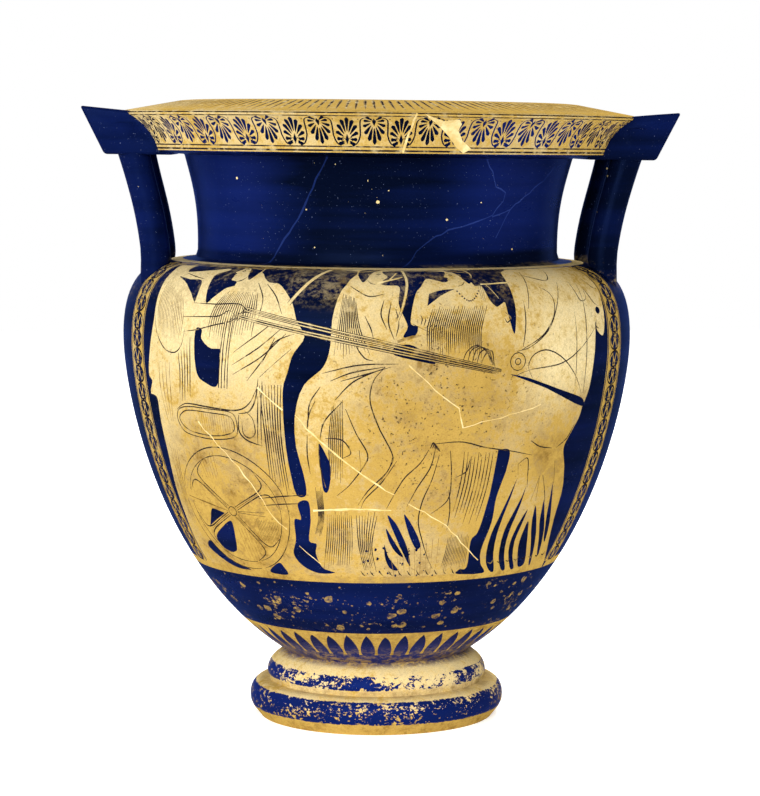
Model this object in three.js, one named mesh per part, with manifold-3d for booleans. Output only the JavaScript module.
// A Greek column krater: a wide bowl for mixing wine and water, wheel-thrown in fired clay.
// Foot, bowl, neck, rim and the two handles are luted together while the clay is soft and
// fired as one hollow pot. Millimetres, +Z up; the foot stands on z = 0, the rim is centred
// over the origin, the handles point to +X and -X and the main picture faces -Y.
import * as THREE from 'three';
import { mergeVertices } from 'three/addons/utils/BufferGeometryUtils.js';
import Module from 'manifold-3d';

const wasm = await Module();
wasm.setup();

// Driving dimensions
const sides = 60; // facets around the pot
const wall = 6.5; // thickness of the thrown wall
const leanSlope = 0.0119; // slope of the rim: the soft pot leaned a little to +X as it dried
const leanStart = 150; // height where the lean begins
const leanFull = 400; // height from which the whole slope shows

const foot = {
  restOuter: 86, // resting ring
  restInner: 67,
  edgeRadius: 91.5, // plain band around the bottom
  edgeHeight: 7,
  lowRadius: 93.5, // lower, wider moulding
  lowHeight: 14.5,
  grooveRadius: 79.2, // groove between the two mouldings
  grooveHeight: 26.5,
  highRadius: 80.8, // upper moulding
  highHeight: 32.5,
  hollowHeight: 38, // underside of the bowl, seen inside the ring
};

const bowl = {
  stemRadius: 66.2, // where the bowl stands on the foot
  stemHeight: 48,
  radius: 185.4, // widest place
  widestHeight: 281,
  floorHeight: 60, // clay floor inside, on the axis
};

const neck = {
  baseRadius: 131.4,
  baseHeight: 340,
  filletRadius: 137, // small fillet where the shoulder meets the neck
  filletHeight: 336,
  topRadius: 141.5,
  topHeight: 411,
};

const rim = {
  lowRadius: 168, // lower edge of the flaring collar
  lowHeight: 413,
  outerRadius: 188.5, // upper, widest edge of the collar
  outerHeight: 440,
  crownRadius: 139, // highest ring, beside the mouth
  crownHeight: 450,
  mouthRadius: 133,
};

const handle = {
  tip: 213.2, // outer top edge of the plate, from the axis
  heel: 196, // outer bottom edge of the plate
  root: 147, // inner end of the plate, inside the rim
  top: 444.5,
  bottom: 410.5,
  halfWidth: 58,
  bevel: 2,
  columnOffset: 46, // each column stands this far to the side of the X axis
  columnRadius: 10.6,
  columnFlare: 3.5, // extra radius where a column spreads under the plate
  // Distance from the axis and height of a column's middle line: inside the shoulder, on
  // it, halfway up, under the plate and inside the plate
  columnLine: [[160.3, 320], [160.3, 344], [165.2, 372], [175.5, 410.5], [181.5, 432.5]],
};

const glaze = new THREE.MeshStandardMaterial({
  name: 'painted clay',
  color: 0x121c66,
  roughness: 0.42,
  metalness: 0,
});

// Points of a curve from r, z pairs, without its first point
function bezier(p0, p1, p2, p3, steps) {
  const ends = [p0, p1, p2, p3].map(([r, z]) => new THREE.Vector2(r, z));
  return new THREE.CubicBezierCurve(...ends).getPoints(steps).slice(1);
}

// Bowl and shoulder from the stem up to the fillet, set in from the outside by a thickness
function bowlLine(inset, steps) {
  const b = bowl;
  const rise = bezier(
    [b.stemRadius, b.stemHeight],
    [b.stemRadius + 91, b.stemHeight + 56],
    [b.radius, b.widestHeight - 46],
    [b.radius, b.widestHeight],
    steps,
  );
  const shoulder = bezier(
    [b.radius, b.widestHeight],
    [b.radius, b.widestHeight + 49],
    [neck.filletRadius + 25, neck.filletHeight],
    [neck.filletRadius, neck.filletHeight],
    Math.round(steps * 0.7),
  );
  const start = new THREE.Vector2(b.stemRadius, b.stemHeight);
  return setIn([start, ...rise, ...shoulder], inset);
}

// Moves every point of a line to its left-hand side, which is the inside of the pot
function setIn(line, inset) {
  return line.map((p, i) => {
    const before = line[Math.max(i - 1, 0)];
    const after = line[Math.min(i + 1, line.length - 1)];
    const along = after.clone().sub(before).normalize();
    return new THREE.Vector2(p.x - along.y * inset, p.y + along.x * inset);
  });
}

function footLine() {
  const f = foot;
  const low = bezier(
    [f.lowRadius, f.lowHeight],
    [f.lowRadius, f.lowHeight + 9],
    [f.grooveRadius + 9, f.grooveHeight + 0.5],
    [f.grooveRadius, f.grooveHeight],
    4,
  );
  const high = bezier(
    [f.highRadius, f.highHeight],
    [f.highRadius, f.highHeight + 8],
    [bowl.stemRadius + 6, bowl.stemHeight - 2],
    [bowl.stemRadius, bowl.stemHeight],
    4,
  );
  return [
    new THREE.Vector2(0, f.hollowHeight),
    new THREE.Vector2(f.restInner * 0.62, f.hollowHeight * 0.9),
    new THREE.Vector2(f.restInner * 0.88, f.hollowHeight * 0.58),
    new THREE.Vector2(f.restInner, 0),
    new THREE.Vector2(f.restOuter, 0),
    new THREE.Vector2(f.edgeRadius, f.edgeHeight),
    new THREE.Vector2(f.lowRadius, f.lowHeight),
    ...low,
    new THREE.Vector2(f.highRadius, f.highHeight),
    ...high.slice(0, -1),
  ];
}

function neckLine() {
  const n = neck;
  return [
    new THREE.Vector2(n.baseRadius + 1.5, n.baseHeight - 2.5),
    new THREE.Vector2(n.baseRadius, n.baseHeight + 2),
    ...bezier(
      [n.baseRadius, n.baseHeight + 2],
      [n.baseRadius - 0.6, n.baseHeight + 34],
      [n.baseRadius + 4, n.topHeight - 22],
      [n.topRadius, n.topHeight],
      4,
    ),
  ];
}

// The rim from the collar's lower edge, over the crown to the mouth
function rimLine() {
  const r = rim;
  return [
    new THREE.Vector2(r.lowRadius, r.lowHeight),
    ...bezier(
      [r.lowRadius, r.lowHeight],
      [r.lowRadius + 2.5, r.lowHeight + 11],
      [r.outerRadius - 10, r.outerHeight - 6],
      [r.outerRadius - 1, r.outerHeight - 1.2],
      4,
    ),
    new THREE.Vector2(r.outerRadius, r.outerHeight),
    new THREE.Vector2(r.outerRadius - 3, r.outerHeight + 2),
    new THREE.Vector2(r.crownRadius + 26, r.crownHeight - 4.2),
    new THREE.Vector2(r.crownRadius + 6, r.crownHeight - 0.5),
    new THREE.Vector2(r.crownRadius, r.crownHeight),
    new THREE.Vector2(0, r.crownHeight),
  ];
}

// The empty space inside the pot, open through the mouth
function hollowLine() {
  const inside = bowlLine(wall, 8).filter((p) => p.y > bowl.floorHeight + 3);
  const n = neck;
  return [
    new THREE.Vector2(0, bowl.floorHeight),
    new THREE.Vector2(42, bowl.floorHeight + 1),
    ...inside.slice(0, -2),
    new THREE.Vector2(n.baseRadius - wall + 3, n.baseHeight - wall - 4),
    new THREE.Vector2(n.baseRadius - wall, n.baseHeight + 3),
    new THREE.Vector2(n.baseRadius - wall + 0.5, n.baseHeight + 35),
    new THREE.Vector2(rim.mouthRadius - 1.2, rim.crownHeight - 18),
    new THREE.Vector2(rim.mouthRadius, rim.crownHeight - 6),
    new THREE.Vector2(rim.mouthRadius + 2.2, rim.crownHeight - 1.6),
    new THREE.Vector2(rim.crownRadius - 1, rim.crownHeight + 0.5),
    new THREE.Vector2(rim.crownRadius - 1, rim.crownHeight + 20),
    new THREE.Vector2(0, rim.crownHeight + 20),
  ];
}

// A closed line of r, z points turned about the Z axis
function turned(line) {
  const geometry = new THREE.LatheGeometry(line, sides);
  return geometry.rotateX(Math.PI / 2);
}

// The flat plate of one handle, level with the rim, its outer edge sloping in to the heel.
// The outline is drawn smaller by the bevel, which grows it back to its size.
function handlePlate() {
  const h = handle;
  const b = h.bevel;
  const run = (h.tip - h.heel) / (h.top - h.bottom);
  const cut = b * Math.hypot(run, 1);
  const outline = new THREE.Shape([
    new THREE.Vector2(h.root, h.bottom + b),
    new THREE.Vector2(h.heel + b * run - cut, h.bottom + b),
    new THREE.Vector2(h.tip - b * run - cut, h.top - b),
    new THREE.Vector2(h.root, h.top - b),
  ]);
  const geometry = new THREE.ExtrudeGeometry(outline, {
    depth: 2 * (h.halfWidth - b),
    bevelThickness: b,
    bevelSize: b,
    bevelSegments: 2,
  });
  geometry.rotateX(Math.PI / 2);
  return geometry.translate(0, h.halfWidth - b, 0);
}

// One upright column: a round bar bent outward to the plate and spreading below it
function handleColumn(side) {
  const h = handle;
  const middle = h.columnLine.map(([r, z]) => new THREE.Vector3(r, side * h.columnOffset, z));
  const bend = new THREE.CatmullRomCurve3(middle);
  const geometry = new THREE.CylinderGeometry(1, 1, 1, 12, 8);
  const place = geometry.attributes.position;
  for (let i = 0; i < place.count; i += 1) {
    const t = place.getY(i) + 0.5;
    const centre = bend.getPoint(t);
    const spread = h.columnFlare * t ** 6;
    const radius = h.columnRadius + spread;
    place.setXYZ(
      i,
      centre.x + radius * place.getX(i),
      centre.y - radius * place.getZ(i),
      centre.z,
    );
  }
  return geometry;
}

// Closed geometry as a solid for joining and cutting
function solid(geometry) {
  const bare = geometry.clone();
  bare.deleteAttribute('normal');
  bare.deleteAttribute('uv');
  const merged = mergeVertices(bare, 1e-3);
  const mesh = new wasm.Mesh({
    numProp: 3,
    vertProperties: new Float32Array(merged.attributes.position.array),
    triVerts: new Uint32Array(merged.index.array),
  });
  return new wasm.Manifold(mesh);
}

function geometryOf(manifold) {
  const { vertProperties, triVerts } = manifold.getMesh();
  const geometry = new THREE.BufferGeometry();
  geometry.setAttribute('position', new THREE.BufferAttribute(vertProperties, 3));
  geometry.setIndex(new THREE.BufferAttribute(triVerts, 1));
  return geometry;
}

// Height of the point from which a lean of full slope would start
function leanShift(height) {
  const span = leanFull - leanStart;
  const t = THREE.MathUtils.clamp((height - leanStart) / span, 0, 1);
  const eased = span * (t ** 3 - t ** 4 / 2);
  return leanSlope * (eased + Math.max(height - leanFull, 0));
}

// Bends the upper part of the pot over to +X. The rim stays centred on the origin, so the
// foot stands a little to the -X side of it.
function leaning(geometry) {
  const place = geometry.attributes.position;
  const top = leanShift(handle.top);
  for (let i = 0; i < place.count; i += 1) {
    const [x, z] = [place.getX(i), place.getZ(i)];
    const slope = leanSlope * THREE.MathUtils.smoothstep(z, leanStart, leanFull);
    place.setX(i, x + leanShift(z) - top);
    place.setZ(i, z - slope * x);
  }
  return geometry;
}

function krater() {
  const outside = turned([
    ...footLine(),
    ...bowlLine(0, 10),
    ...neckLine(),
    ...rimLine(),
  ]);
  let pot = solid(outside);
  for (const turn of [0, Math.PI]) {
    const parts = [handlePlate(), handleColumn(-1), handleColumn(1)];
    for (const part of parts) {
      pot = pot.add(solid(part.rotateZ(turn)));
    }
  }
  pot = pot.subtract(solid(turned(hollowLine())));
  const geometry = leaning(geometryOf(pot));
  geometry.computeVertexNormals();
  const mesh = new THREE.Mesh(geometry, glaze);
  mesh.name = 'krater';
  return mesh;
}

const model = new THREE.Group();
model.add(krater());

export default model;
